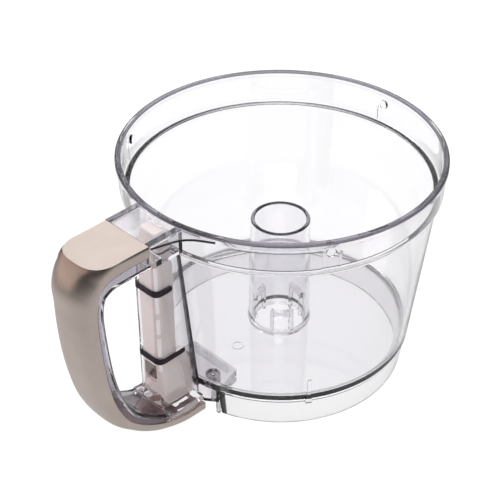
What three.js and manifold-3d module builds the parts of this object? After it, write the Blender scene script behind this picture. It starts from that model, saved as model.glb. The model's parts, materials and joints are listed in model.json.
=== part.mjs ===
// Work bowl of a food processor: clear bowl with a central tube, a hollow side handle
// (clear frame and painted cover) and the sprung interlock rod that runs down inside it.
// Millimetres, +Z up. The bowl stands on its skirt at z = 0 and the handle points along -X.

import * as THREE from 'three';
import { mergeVertices } from 'three/addons/utils/BufferGeometryUtils.js';
import Module from 'manifold-3d';

const wasm = await Module();
wasm.setup();

// ---- Driving dimensions -------------------------------------------------------------------

const rimRadius = 106;
const rimTop = 157.3;
const rimThickness = 4;
const bandThickness = 3;
const bandOuterRadius = 105;
const ledgeHeight = 135.2;
const wallThickness = 2.9;
const wallTopRadius = 101.3;
const wallTopHeight = 132.5;
const wallFootRadius = 89.5;
const floorUnderside = 21.5;
const floorThickness = 3;
const skirtTopRadius = 88.7;
const skirtFootRadius = 85.8;
const skirtThickness = 2.5;
const bowlSegments = 64;

const tubeTop = 103.6;
const tubeTopRadius = 19.7;
const tubeFootRadius = 21;
const tubeTopBore = 17.1;
const tubeFootBore = 18.3;
const tubeSegments = 40;

const clearance = 0.3;          // gap between pieces that rest on each other
const handleReach = 179;        // bowl axis to the outermost point of the grip
const handleTop = 156;
const seamRadius = 128.8;       // where the bridge ends and the painted cover begins
const bridgeHalfWidth = 19.8;
const bridgeUnderside = 139.8;
const bridgeWall = 4.6;
const gripHalfWidth = 17;
const coverWall = 3;
const linerWall = 2.4;

const columnFace = 118.5;       // outer face of the interlock column
const columnHalfWidth = 10;
const columnWall = 1.8;
const columnLowerWall = 1.1;    // below the lower slot, beside the rod's foot
const columnFoot = 13.6;
const flangeHalfWidth = 13.5;
const columnFarCorner = 2.5;    // the column's outer corners, away from and near the lid slot
const columnNearCorner = 5.5;
const slotHeight = 4;
const rodTravel = 6;
const rodInnerFace = 103.4;     // bowl side of the rod, in the column
const rodOuterFace = 116;
const rodHalfWidth = 7.6;

const bowlCentreX = (handleReach - rimRadius) / 2;

// ---- Solids -------------------------------------------------------------------------------

function toSolid(geometry) {
  const bare = geometry.clone();
  bare.deleteAttribute('normal');
  bare.deleteAttribute('uv');
  const merged = mergeVertices(bare, 1e-4);
  return new wasm.Manifold(new wasm.Mesh({
    numProp: 3,
    vertProperties: new Float32Array(merged.attributes.position.array),
    triVerts: new Uint32Array(merged.index.array),
  }));
}

function toGeometry(solid) {
  const mesh = solid.getMesh();
  const geometry = new THREE.BufferGeometry();
  geometry.setAttribute('position', new THREE.BufferAttribute(mesh.vertProperties, 3));
  geometry.setIndex(new THREE.BufferAttribute(mesh.triVerts, 1));
  return geometry;
}

function join(first, ...others) {
  return toGeometry(others.reduce((sum, other) => sum.add(toSolid(other)), toSolid(first)));
}

function cut(first, ...others) {
  return toGeometry(others.reduce((rest, other) => rest.subtract(toSolid(other)), toSolid(first)));
}

function common(first, second) {
  return toGeometry(toSolid(first).intersect(toSolid(second)));
}

function box(x0, x1, y0, y1, z0, z1) {
  const geometry = new THREE.BoxGeometry(x1 - x0, y1 - y0, z1 - z0);
  return geometry.translate((x0 + x1) / 2, (y0 + y1) / 2, (z0 + z1) / 2);
}

function ring(profile, segments) {
  // profile: closed loop of [radius, height]; the lathe turns about Y, so it is stood up on Z.
  const points = [...profile, profile[0]].map(([r, z]) => new THREE.Vector2(r, z));
  return new THREE.LatheGeometry(points, segments).rotateX(Math.PI / 2);
}

function tube(outerRadius, innerRadius, z0, z1, segments) {
  return ring([[innerRadius, z0], [outerRadius, z0], [outerRadius, z1], [innerRadius, z1]], segments);
}

function disc(radius, z0, z1, segments) {
  const geometry = new THREE.CylinderGeometry(radius, radius, z1 - z0, segments);
  return geometry.rotateX(Math.PI / 2).translate(0, 0, (z0 + z1) / 2);
}

function outline(corners) {
  return new THREE.Shape(corners.map(([a, b]) => new THREE.Vector2(a, b)));
}

function roundedRectangle(x0, x1, y0, y1, radius) {
  const shape = new THREE.Shape();
  shape.moveTo(x0 + radius, y0);
  shape.lineTo(x1 - radius, y0).absarc(x1 - radius, y0 + radius, radius, -Math.PI / 2, 0);
  shape.lineTo(x1, y1 - radius).absarc(x1 - radius, y1 - radius, radius, 0, Math.PI / 2);
  shape.lineTo(x0 + radius, y1).absarc(x0 + radius, y1 - radius, radius, Math.PI / 2, Math.PI);
  shape.lineTo(x0, y0 + radius).absarc(x0 + radius, y0 + radius, radius, Math.PI, 1.5 * Math.PI);
  return shape;
}

function prism(shape, z0, z1, curveSegments = 4) {
  const geometry = new THREE.ExtrudeGeometry(shape, { depth: z1 - z0, bevelEnabled: false, curveSegments });
  return geometry.translate(0, 0, z0);
}

function crossBar(shape, halfWidth, curveSegments = 5) {
  // shape is drawn in the (x, z) plane and runs from y = -halfWidth to y = +halfWidth.
  const settings = { depth: 2 * halfWidth, bevelEnabled: false, curveSegments };
  const geometry = new THREE.ExtrudeGeometry(shape, settings);
  return geometry.rotateX(Math.PI / 2).translate(0, halfWidth, 0);
}

function loft(rings, section) {
  // Joins rings of points into one closed body; section gives the ring's flat outline for the end caps.
  const count = rings[0].length;
  const positions = rings.flat().flatMap((point) => [point.x, point.y, point.z]);
  const indices = [];
  for (let i = 0; i + 1 < rings.length; i += 1) {
    for (let j = 0; j < count; j += 1) {
      const k = (j + 1) % count;
      const [a, b, c, d] = [i * count + j, i * count + k, (i + 1) * count + k, (i + 1) * count + j];
      indices.push(a, b, c, a, c, d);
    }
  }
  [0, rings.length - 1].forEach((end) => {
    const flat = section(end);
    const reversed = THREE.ShapeUtils.isClockWise(flat) !== (end === 0);
    THREE.ShapeUtils.triangulateShape(flat, []).forEach(([a, b, c]) => {
      const corner = [a, b, c].map((index) => index + end * count);
      indices.push(...(reversed ? corner.reverse() : corner));
    });
  });
  const geometry = new THREE.BufferGeometry();
  geometry.setAttribute('position', new THREE.Float32BufferAttribute(positions, 3));
  geometry.setIndex(indices);
  return signedVolume(geometry) < 0 ? turnedInsideOut(geometry) : geometry;
}

function signedVolume(geometry) {
  const { position } = geometry.attributes;
  const corner = [0, 1, 2].map(() => new THREE.Vector3());
  let volume = 0;
  for (let i = 0; i < geometry.index.count; i += 3) {
    corner.forEach((point, j) => point.fromBufferAttribute(position, geometry.index.getX(i + j)));
    volume += corner[0].dot(corner[1].clone().cross(corner[2])) / 6;
  }
  return volume;
}

function turnedInsideOut(geometry) {
  const order = Array.from(geometry.index.array);
  for (let i = 0; i < order.length; i += 3) [order[i], order[i + 1]] = [order[i + 1], order[i]];
  return geometry.setIndex(order);
}

// ---- Bowl ---------------------------------------------------------------------------------

function wallRadiusAt(z) {
  const rise = (z - floorUnderside) / (wallTopHeight - floorUnderside);
  return wallFootRadius + rise * (wallTopRadius - wallFootRadius);
}

function bowlProfile() {
  const floorTop = floorUnderside + floorThickness;
  const inner = (z) => wallRadiusAt(z) - wallThickness;
  const corner = 6;
  const cornerCentre = [inner(floorTop + corner) - corner, floorTop + corner];
  const cornerArc = [0, 30, 60, 90].map((degrees) => {
    const angle = THREE.MathUtils.degToRad(degrees);
    return [cornerCentre[0] + corner * Math.cos(angle), cornerCentre[1] - corner * Math.sin(angle)];
  });
  const bandInnerRadius = bandOuterRadius - bandThickness;
  const rimInnerRadius = rimRadius - rimThickness;
  return [
    [tubeFootRadius + clearance, floorUnderside],
    [skirtTopRadius - skirtThickness, floorUnderside],
    [skirtFootRadius - skirtThickness, 0],
    [skirtFootRadius, 0],
    [skirtTopRadius, floorUnderside - 1],
    [wallFootRadius, floorUnderside + 0.5],
    [wallTopRadius, wallTopHeight],
    [bandOuterRadius - 0.7, wallTopHeight + 3.4],
    [bandOuterRadius, rimTop - 5.2],
    [rimRadius, rimTop - 4],
    [rimRadius, rimTop - 1],
    [rimRadius - 1, rimTop],
    [rimInnerRadius + 1, rimTop],
    [rimInnerRadius, rimTop - 1],
    [bandInnerRadius, rimTop - 6],
    [bandInnerRadius - 0.4, ledgeHeight + 0.6],
    [bandInnerRadius - 1, ledgeHeight],
    [inner(wallTopHeight) + 0.1, ledgeHeight],
    [inner(wallTopHeight) - 0.9, ledgeHeight - 1],
    [inner(wallTopHeight) - 0.2, wallTopHeight - 1],
    ...cornerArc,
    [tubeFootRadius + clearance, floorTop],
  ];
}

// Directions round the band are measured from the handle's direction, in degrees.
const lugAngles = [60, 180, 300];
const lugHeight = 148.2;
const guideStart = 14;
const guideEnd = 57;
const guideRise = 15;           // angle over which the lid guide climbs from the ledge
const guideTop = 149.3;
const guideDepth = 1.6;

function lidLug(degrees) {
  const lug = new THREE.CylinderGeometry(3.1, 3.4, 3.4, 16).rotateZ(Math.PI / 2);
  lug.translate(bandOuterRadius - bandThickness - 1, 0, lugHeight);
  return lug.rotateZ(THREE.MathUtils.degToRad(degrees));
}

function lidGuide() {
  // A thicker stretch of the band whose top edge climbs from the ledge and steers the lid shut.
  const steps = 14;
  const inside = bandOuterRadius - bandThickness;
  const bottom = ledgeHeight - 0.6;
  const upward = new THREE.Vector3(0, 0, 1);
  const rings = Array.from({ length: steps + 1 }, (_, i) => {
    const degrees = THREE.MathUtils.lerp(guideStart, guideEnd, i / steps);
    const climb = THREE.MathUtils.smoothstep(degrees, guideStart, guideStart + guideRise);
    const top = THREE.MathUtils.lerp(ledgeHeight + 0.4, guideTop, climb);
    const angle = THREE.MathUtils.degToRad(degrees);
    const corners = [[-guideDepth, bottom], [1, bottom], [1, top], [-guideDepth, top]];
    return corners.map(([r, z]) => new THREE.Vector3(r + inside, 0, z).applyAxisAngle(upward, angle));
  });
  return loft(rings, () => [[0, 0], [1, 0], [1, 1], [0, 1]].map(([u, v]) => new THREE.Vector2(u, v)));
}

const rootHalfWidth = 26.5;
const rootReach = 89.5;         // how far the handle's root reaches out from the bowl axis
const screwRadiusX = 74.7;
const screwOffsetY = 12.4;

function screwBoss(side) {
  const boss = disc(5, floorUnderside - 7.5, floorUnderside + 1, 20);
  const pilot = disc(1.9, floorUnderside - 8, floorUnderside + 0.8, 12);
  return cut(boss, pilot).translate(screwRadiusX, side * screwOffsetY, 0);
}

function bowlGeometry() {
  const turned = ring(bowlProfile(), bowlSegments);
  const rootNotch = box(76, 96, -rootHalfWidth - clearance, rootHalfWidth + clearance, -1, floorUnderside);
  const pilots = [1, -1].map((side) => (
    disc(1.9, floorUnderside - 1, floorUnderside + 0.8, 12).translate(screwRadiusX, side * screwOffsetY, 0)
  ));
  const fittings = [lidGuide(), ...lugAngles.map(lidLug), screwBoss(1), screwBoss(-1)];
  return cut(join(cut(turned, rootNotch), ...fittings), ...pilots);
}

// Ribs stand in pairs inside the tube's foot and steer the drive spindle.
const ribPairAngles = [-14, 106, 226];
const ribSpread = 42;

function centreTubeGeometry() {
  const foot = floorUnderside;
  const turned = ring([
    [tubeFootBore, foot],
    [tubeFootRadius, foot],
    [tubeFootRadius - 0.1, foot + floorThickness],
    [tubeTopRadius, tubeTop - 0.6],
    [tubeTopRadius - 0.6, tubeTop],
    [tubeTopBore + 0.6, tubeTop],
    [tubeTopBore, tubeTop - 0.6],
  ], tubeSegments);
  const ribs = ribPairAngles.flatMap((start) => [start, start + ribSpread]).map((degrees) => {
    const rib = box(tubeFootBore - 3, tubeFootBore + 0.6, -1.2, 1.2, foot, foot + 30);
    return rib.rotateZ(THREE.MathUtils.degToRad(degrees));
  });
  return join(turned, ...ribs);
}

// ---- Handle -------------------------------------------------------------------------------
// The handle is drawn in the bowl's own frame: +X outward through the grip, +Y across it.

const gripStations = [
  // finger side, joint line and back of the grip as [x, z]; half width; how square the back is
  { inner: [129.1, bridgeUnderside], seam: [129.1, 148.8], outer: [129.1, 157.0], half: 19.8, square: 9 },
  { inner: [145.0, 139.5], seam: [146.0, 148.7], outer: [146.0, 157.2], half: 19.4, square: 9 },
  { inner: [154.0, 139.2], seam: [156.0, 147.5], outer: [158.0, 158.9], half: 19.3, square: 5 },
  { inner: [159.5, 136.3], seam: [162.3, 144.4], outer: [171.1, 154.2], half: 18.6, square: 2.4 },
  { inner: [161.6, 132.0], seam: [166.0, 136.0], outer: [178.8, 140.7], half: 18.0, square: 2.2 },
  { inner: [162.4, 122.5], seam: [167.6, 124.0], outer: [178.3, 124.6], half: 17.4, square: 2.3 },
  { inner: [161.6, 109.0], seam: [167.0, 108.0], outer: [178.0, 107.4], half: gripHalfWidth, square: 2.5 },
  { inner: [160.2, 91.5], seam: [165.7, 90.0], outer: [176.7, 88.3], half: gripHalfWidth, square: 2.5 },
  { inner: [157.8, 73.0], seam: [163.4, 71.0], outer: [173.5, 68.1], half: gripHalfWidth, square: 2.5 },
  { inner: [153.8, 56.5], seam: [159.5, 53.0], outer: [168.2, 48.0], half: gripHalfWidth, square: 2.5 },
  { inner: [147.5, 40.6], seam: [152.0, 36.0], outer: [158.5, 29.5], half: gripHalfWidth, square: 2.5 },
  { inner: [139.2, 30.7], seam: [142.9, 25.5], outer: [147.8, 18.6], half: gripHalfWidth, square: 2.5 },
  { inner: [128.6, 23.0], seam: [131.3, 17.3], outer: [135.2, 9.7], half: 17.4, square: 3 },
  { inner: [119.2, 18.3], seam: [119.5, 12.4], outer: [121.6, 4.7], half: 18.2, square: 3.8 },
  { inner: [105.5, 16.6], seam: [105.6, 9.8], outer: [106.2, 2.2], half: 19.2, square: 5 },
  { inner: [89.6, 16.4], seam: [89.6, 10.4], outer: [89.6, 2.2], half: bridgeHalfWidth, square: 6 },
];
const linerLastStation = 13;
const stepsPerStation = 2;

function blendStations(position) {
  // Catmull-Rom blend of the stations either side of a position counted in stations.
  const index = Math.min(Math.floor(position), gripStations.length - 2);
  const t = position - index;
  const at = (offset) => gripStations[THREE.MathUtils.clamp(index + offset, 0, gripStations.length - 1)];
  const four = [-1, 0, 1, 2].map(at);
  const curve = (a, b, c, d) => 0.5 * (2 * b + (c - a) * t + (2 * a - 5 * b + 4 * c - d) * t * t
    + (3 * b - a - 3 * c + d) * t * t * t);
  const point = (name) => new THREE.Vector2(
    curve(...four.map((station) => station[name][0])),
    curve(...four.map((station) => station[name][1])),
  );
  return {
    inner: point('inner'),
    seam: point('seam'),
    outer: point('outer'),
    half: THREE.MathUtils.lerp(four[1].half, four[2].half, t),
    square: THREE.MathUtils.lerp(four[1].square, four[2].square, t),
  };
}

function loftAlongGrip(firstStation, lastStation, base, target, sectionOf) {
  // sectionOf(station) gives (across, outward) points, outward being from the base line to the target line.
  const steps = (lastStation - firstStation) * stepsPerStation;
  const stations = Array.from(
    { length: steps + 1 },
    (_, i) => blendStations(firstStation + i / stepsPerStation),
  );
  const rings = stations.map((station) => {
    const outward = station[target].clone().sub(station[base]).normalize();
    return sectionOf(station).map(([across, out]) => new THREE.Vector3(
      station[base].x + outward.x * out,
      across,
      station[base].y + outward.y * out,
    ));
  });
  return loft(rings, (end) => sectionOf(stations[end]).map(([a, b]) => new THREE.Vector2(a, b)));
}

function archPoints(halfWidth, height, square, count) {
  // Points of a superellipse arch from +halfWidth over the top to -halfWidth.
  return Array.from({ length: count + 1 }, (_, i) => {
    const angle = (Math.PI * i) / count;
    const power = 2 / square;
    const across = Math.sign(Math.cos(angle)) * Math.abs(Math.cos(angle)) ** power;
    return [halfWidth * across, height * Math.sin(angle) ** power];
  });
}

function coverSection({ seam, outer, half, square }) {
  const depth = outer.distanceTo(seam);
  const outside = archPoints(half, depth - clearance, square, 16);
  const inside = archPoints(half - coverWall, depth - clearance - coverWall, square, 16).reverse();
  return [...outside, ...inside].map(([across, out]) => [across, out + clearance]);
}

function handleCoverGeometry() {
  const shell = loftAlongGrip(0, gripStations.length - 1, 'seam', 'outer', coverSection);
  const aboveTop = box(100, 200, -40, 40, handleTop, handleTop + 20);
  const rodHole = box(91.5, 103.5, -6, 6, -1, 9);
  const filled = loftAlongGrip(0, 4, 'seam', 'outer', ({ seam, outer, half, square }) => archPoints(
    half - 0.5, outer.distanceTo(seam) - 0.5, square, 16,
  ).map(([across, out]) => [across, out + clearance]));
  const roof = common(
    filled,
    box(seamRadius + clearance, 166, -gripHalfWidth, gripHalfWidth, handleTop - 2.6, handleTop + 1),
  );
  const footPocket = box(89, 108, -9.2, 9.2, 3.9, 12);
  return cut(join(shell, roof), aboveTop, rodHole, footPocket);
}

function linerSection({ inner, seam, half }) {
  const depth = seam.distanceTo(inner);
  const edge = Math.min(2.2, depth - 0.4);
  const core = half - linerWall;
  const floor = Math.min(linerWall, depth - 0.8);
  return [
    [half, depth], [half, edge], [half - edge * 0.3, edge * 0.3], [half - edge, 0],
    [edge - half, 0], [edge * 0.3 - half, edge * 0.3], [-half, edge], [-half, depth],
    [-core, depth], [-core, floor], [core, floor], [core, depth],
  ];
}

function gripLinerGeometry() {
  return loftAlongGrip(0, linerLastStation, 'inner', 'seam', linerSection);
}

const lidSlotInner = rimRadius + clearance;
const lidSlotOuter = rimRadius + 4.9;

function bridgeGeometry() {
  const outside = box(90, seamRadius, -bridgeHalfWidth, bridgeHalfWidth, bridgeUnderside, handleTop);
  const inside = box(80, seamRadius + 1, bridgeWall - bridgeHalfWidth, bridgeHalfWidth - bridgeWall,
    bridgeUnderside - 1, handleTop - 2.6);
  const bowlSide = disc(rimRadius + clearance, bridgeUnderside - 1, handleTop + 1, bowlSegments);
  const lidSlot = common(
    tube(lidSlotOuter, lidSlotInner - 1, handleTop - 4, handleTop + 1, bowlSegments),
    box(90, 120, -2, 15, handleTop - 4, handleTop + 1),
  );
  const floorPlate = box(columnFace + clearance, seamRadius, -bridgeHalfWidth + 1, bridgeHalfWidth - 1,
    bridgeUnderside, bridgeUnderside + 2.4);
  return cut(join(cut(outside, inside), floorPlate), bowlSide, lidSlot);
}

// ---- Interlock column ---------------------------------------------------------------------

const slotLevels = [{ z: 106.5, from: 105.4 }, { z: 52.9, from: 97 }];

function slotShape({ z, from }) {
  const radius = slotHeight / 2;
  const shape = new THREE.Shape();
  shape.moveTo(columnFace + 2, z).lineTo(columnFace + 2, z + slotHeight);
  shape.lineTo(from + radius, z + slotHeight);
  shape.absarc(from + radius, z + radius, radius, Math.PI / 2, 1.5 * Math.PI);
  return shape;
}

function columnOutline(face, halfWidth, farCorner, nearCorner) {
  const shape = new THREE.Shape();
  shape.moveTo(75, -halfWidth).lineTo(face - farCorner, -halfWidth);
  shape.absarc(face - farCorner, farCorner - halfWidth, farCorner, -Math.PI / 2, 0);
  shape.lineTo(face, halfWidth - nearCorner);
  shape.absarc(face - nearCorner, halfWidth - nearCorner, nearCorner, 0, Math.PI / 2);
  return shape.lineTo(75, halfWidth);
}

function columnGeometry() {
  const top = bridgeUnderside - clearance;
  const bowlOutside = [
    [0, -1], [skirtTopRadius, -1], [wallFootRadius, floorUnderside], [wallTopRadius, wallTopHeight],
    [bandOuterRadius, wallTopHeight + 4], [rimRadius, rimTop], [0, rimTop],
  ];
  const grown = (gap) => ring(bowlOutside.map(([r, z]) => [r === 0 ? 0 : r + gap, z]), bowlSegments);
  const body = prism(
    columnOutline(columnFace, columnHalfWidth, columnFarCorner, columnNearCorner), columnFoot, top,
  );
  const flange = common(
    grown(clearance + 2),
    box(80, 120, -flangeHalfWidth, flangeHalfWidth, columnFoot, top),
  );
  const footPlate = crossBar(outline([
    [89.9, 11.1], [105.6, 10.5], [118.9, 13.2], [118.9, 18.3], [105, 16.6], [89.9, 16.4],
  ]), gripHalfWidth + 0.8);
  const boreOutline = (wall) => columnOutline(
    columnFace - columnWall, columnHalfWidth - wall, columnFarCorner - 1.4, columnNearCorner - 1.6,
  );
  const bore = prism(boreOutline(columnWall), columnFoot - 5, top + 1);
  const lowerBore = prism(boreOutline(columnLowerWall), columnFoot - 5, slotLevels[1].z + 1);
  const slots = slotLevels.map((level) => crossBar(slotShape(level), columnHalfWidth + 1));
  const rootSpace = box(60, rootReach + clearance, -30, 30, 0, floorUnderside + clearance);
  return cut(join(body, flange, footPlate), bore, lowerBore, grown(clearance), rootSpace, ...slots);
}

const springCentre = 108.5;
const springSeatTop = 10.1;
const springRestTop = 24.4;

function springSeatGeometry() {
  const plate = prism(roundedRectangle(104, 115, -4.7, 4.7, 2), springSeatTop - 2.2, springSeatTop);
  const leg = box(105.4, 109.6, -2.5, 2.5, 6, springSeatTop - 1);
  const pin = disc(1.9, springSeatTop - 1, springSeatTop + 4, 12).translate(springCentre, 0, 0);
  return join(plate, leg, pin);
}

class Helix extends THREE.Curve {
  constructor(radius, z0, z1, turns) {
    super();
    Object.assign(this, { radius, z0, z1, turns });
  }

  getPoint(t, target = new THREE.Vector3()) {
    const angle = 2 * Math.PI * this.turns * t;
    return target.set(
      this.radius * Math.cos(angle), this.radius * Math.sin(angle), THREE.MathUtils.lerp(this.z0, this.z1, t),
    );
  }
}

function returnSpringGeometry() {
  const wire = 0.45;
  const turns = 5;
  const path = new Helix(3.3, springSeatTop + clearance + wire, springRestTop - clearance - wire, turns);
  const section = new THREE.Shape().absarc(0, 0, wire, 0, 2 * Math.PI);
  const coil = new THREE.ExtrudeGeometry(section, {
    steps: turns * 14, extrudePath: path, curveSegments: 3, bevelEnabled: false,
  });
  return coil.translate(springCentre, 0, 0);
}

// ---- Interlock rod ------------------------------------------------------------------------

const rodJoint = 56.5;          // height where the rod is pushed into its foot
const rodTop = 149;
const rodFootBottom = 10.4;
const rodFootHalfWidth = 8.4;

function interlockRodGeometry() {
  // The shank is cut back at the top, where the bowl's band stands out towards it.
  const shank = common(
    prism(columnOutline(rodOuterFace, rodHalfWidth, 1.2, 3.6), rodJoint, 139.5),
    crossBar(outline([
      [rodInnerFace, rodJoint - 1], [120, rodJoint - 1], [120, 140],
      [105.7, 140], [105.7, 130], [rodInnerFace, 126],
    ]), rodHalfWidth + 1),
  );
  const head = crossBar(outline([[106.5, 138], [114.4, 138], [114.4, rodTop], [106.5, rodTop]]), 7);
  const ramp = crossBar(outline([[100, 151], [120, 151], [120, rodTop], [100, rodTop]]), 10)
    .rotateX(THREE.MathUtils.degToRad(-24)).translate(0, 62.5, 13.5);
  const tang = box(107, 113.5, -4, 4, rodJoint - 12, rodJoint + 1);
  return join(shank, cut(head, ramp), tang);
}

function rodFootGeometry() {
  const top = rodJoint - clearance;
  const side = new THREE.Shape();
  side.moveTo(90.7, rodFootBottom).lineTo(102.5, rodFootBottom);
  side.quadraticCurveTo(113.5, rodFootBottom + 1.4, rodOuterFace - 0.2, 28);
  side.lineTo(rodOuterFace - 0.2, top).lineTo(101, top);
  side.quadraticCurveTo(94.4, top - 2.5, 92.4, 40).lineTo(90.7, 24);
  const body = common(
    crossBar(side, rodFootHalfWidth),
    prism(columnOutline(rodOuterFace - 0.2, rodFootHalfWidth, 1.2, 4.4), rodFootBottom - 1, top + 1),
  );
  const springPocket = box(103.6, 117, -5.2, 5.2, rodFootBottom - 1, springRestTop);
  const window = box(rodOuterFace - 2.8, 117, -6.6, 3.6, 34, 49);
  const tangSocket = box(106.7, 113.8, -4 - clearance, 4 + clearance, rodJoint - 12.4, rodJoint + 1);
  const tip = box(93, 100.4, -4, 4, 7.2, rodFootBottom + 1);
  const spigot = disc(1.9, springRestTop - 3.4, springRestTop + 1, 12).translate(springCentre, 0, 0);
  return join(cut(body, springPocket, window, tangSocket), tip, spigot);
}

// ---- Root of the handle -------------------------------------------------------------------

const rootPlateTop = floorUnderside - 7.5 - clearance;
const rootPlateThickness = 2.6;

function rootOutline(inset) {
  return outline([
    [61 + inset, -20 + inset], [84, -rootHalfWidth + inset], [rootReach, -19],
    [rootReach, 19], [84, rootHalfWidth - inset], [61 + inset, 20 - inset],
  ]);
}

function handleRootGeometry() {
  const plateBottom = rootPlateTop - rootPlateThickness;
  const tray = cut(
    prism(rootOutline(0), plateBottom, floorUnderside - clearance),
    prism(rootOutline(2.2), rootPlateTop, floorUnderside + 1),
  );
  const outerOpening = box(84.4, 91, -rootHalfWidth + 4, rootHalfWidth - 4, rootPlateTop, floorUnderside + 1);
  const holes = [1, -1].map((side) => disc(2.1, plateBottom - 1, rootPlateTop + 1, 12)
    .translate(screwRadiusX, side * screwOffsetY, 0));
  const cheeks = [1, -1].map((side) => box(82, 84, side * (rootHalfWidth - 1.25) - 1.25,
    side * (rootHalfWidth - 1.25) + 1.25, 1.2, plateBottom + 1));
  return join(cut(tray, outerOpening, ...holes), ...cheeks);
}

function rootScrewGeometry() {
  const under = rootPlateTop - rootPlateThickness - clearance;
  const tip = floorUnderside - 1;
  return ring([
    [0, under - 2.6], [2.6, under - 2.6], [3.6, under - 1.2], [3.6, under],
    [1.6, under], [1.6, tip - 1], [0.9, tip], [0, tip],
  ], 20);
}

// ---- Materials ----------------------------------------------------------------------------

const clearPlastic = { color: 0xe4e2e7, roughness: 0.05, metalness: 0 };
const champagnePaint = { color: 0xbfaea6, roughness: 0.38, metalness: 0.6 };
const champagnePlastic = { color: 0xb09f9b, roughness: 0.4, metalness: 0 };
const springSteel = { color: 0x9a9a9c, roughness: 0.3, metalness: 1 };
const zincSteel = { color: 0xb8b9bb, roughness: 0.35, metalness: 1 };

// ---- Assembly -----------------------------------------------------------------------------

const assembly = new THREE.Group();
assembly.rotation.z = Math.PI;
assembly.position.x = bowlCentreX;

function addPart(name, geometry, finish, place = [0, 0, 0]) {
  const mesh = new THREE.Mesh(geometry, new THREE.MeshStandardMaterial(finish));
  mesh.name = name;
  mesh.position.set(...place);
  assembly.add(mesh);
}

addPart('bowl', bowlGeometry(), clearPlastic);
addPart('centre_tube', centreTubeGeometry(), clearPlastic);
addPart('handle_bridge', bridgeGeometry(), clearPlastic);
addPart('grip_liner', gripLinerGeometry(), clearPlastic);
addPart('handle_cover', handleCoverGeometry(), champagnePaint);
addPart('interlock_column', columnGeometry(), clearPlastic);
addPart('handle_root', handleRootGeometry(), clearPlastic);
addPart('interlock_rod', interlockRodGeometry(), champagnePlastic);
addPart('rod_foot', rodFootGeometry(), champagnePlastic);
addPart('return_spring', returnSpringGeometry(), springSteel);
addPart('spring_seat', springSeatGeometry(), champagnePlastic);
addPart('root_screw_left', rootScrewGeometry(), zincSteel, [screwRadiusX, screwOffsetY, 0]);
addPart('root_screw_right', rootScrewGeometry(), zincSteel, [screwRadiusX, -screwOffsetY, 0]);

const group = new THREE.Group();
group.add(assembly);

export default group;
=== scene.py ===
"""Looks of a food processor's work bowl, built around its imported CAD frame.

Shapes are drawn in the bowl's own frame, in millimetres: origin on the bowl's axis at its foot,
+X outward through the handle, +Y across the handle, +Z up. placed() takes them to the row frame
and local() brings them back.
"""

import json
import math

import bmesh
import bpy
from mathutils import Matrix, Vector

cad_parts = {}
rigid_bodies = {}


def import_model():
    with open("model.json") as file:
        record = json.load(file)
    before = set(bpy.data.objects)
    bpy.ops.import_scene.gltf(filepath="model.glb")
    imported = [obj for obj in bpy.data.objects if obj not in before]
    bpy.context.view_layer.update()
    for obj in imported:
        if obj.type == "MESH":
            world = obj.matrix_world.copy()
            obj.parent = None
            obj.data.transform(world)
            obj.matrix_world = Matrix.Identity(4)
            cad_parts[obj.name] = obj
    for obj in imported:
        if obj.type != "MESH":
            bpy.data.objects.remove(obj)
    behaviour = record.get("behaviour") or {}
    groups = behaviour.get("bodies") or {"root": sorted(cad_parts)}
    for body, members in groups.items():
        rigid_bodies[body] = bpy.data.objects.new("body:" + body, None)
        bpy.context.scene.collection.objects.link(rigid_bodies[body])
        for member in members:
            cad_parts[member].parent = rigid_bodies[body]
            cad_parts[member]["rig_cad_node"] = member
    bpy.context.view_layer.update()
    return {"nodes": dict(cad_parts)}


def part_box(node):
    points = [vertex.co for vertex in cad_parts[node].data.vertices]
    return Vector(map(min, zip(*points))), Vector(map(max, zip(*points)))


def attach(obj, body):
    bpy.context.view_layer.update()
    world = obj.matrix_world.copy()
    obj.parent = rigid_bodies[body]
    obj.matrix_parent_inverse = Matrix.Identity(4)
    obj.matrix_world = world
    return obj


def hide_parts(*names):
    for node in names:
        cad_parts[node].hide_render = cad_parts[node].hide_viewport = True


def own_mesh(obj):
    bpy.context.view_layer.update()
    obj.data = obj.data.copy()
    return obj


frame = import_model()

# ---- Sizes, in millimetres -----------------------------------------------------------------

MM = 0.001
BOWL_LOW, BOWL_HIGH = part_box("bowl")
BOWL_X = (BOWL_LOW.x + BOWL_HIGH.x) / 2

RIM_RADIUS = (BOWL_HIGH.y - BOWL_LOW.y) / 2 / MM
RIM_TOP = BOWL_HIGH.z / MM
BAND_OUTSIDE = RIM_RADIUS - 1
BAND_INSIDE = RIM_RADIUS - 4
LEDGE = RIM_TOP - 22.1
WALL_TOP = RIM_TOP - 24.8
WALL_TOP_RADIUS = 101.3
WALL_FOOT_RADIUS = 89.5
WALL = 2.9
FLOOR_UNDER = 21.5
FLOOR_TOP = FLOOR_UNDER + 3
SKIRT_TOP_RADIUS = 88.7
SKIRT_FOOT_RADIUS = 85.8
TUBE_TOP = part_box("centre_tube")[1].z / MM
TUBE_TOP_RADIUS = 19.7
TUBE_TOP_BORE = 17.1
TUBE_FOOT_RADIUS = 21
TUBE_FOOT_BORE = 18.3
COLLAR_BOTTOM = 18.6

HANDLE_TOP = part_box("handle_cover")[1].z / MM
BRIDGE_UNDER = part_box("handle_bridge")[0].z / MM
BRIDGE_HALF_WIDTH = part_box("handle_bridge")[1].y / MM
COLUMN_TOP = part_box("interlock_column")[1].z / MM
GAP = 0.3

ROUND = 320


def placed(point):
    """A point of the bowl's own frame, in millimetres, as a point of the row frame, in metres."""
    x, y, z = point
    return Vector((BOWL_X - x * MM, -y * MM, z * MM))


def local(point):
    """A point of the row frame, in metres, as x, y and z of the bowl's own frame, in millimetres."""
    return (BOWL_X - point.x) / MM, -point.y / MM, point.z / MM


# ---- Mesh building -------------------------------------------------------------------------


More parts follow.
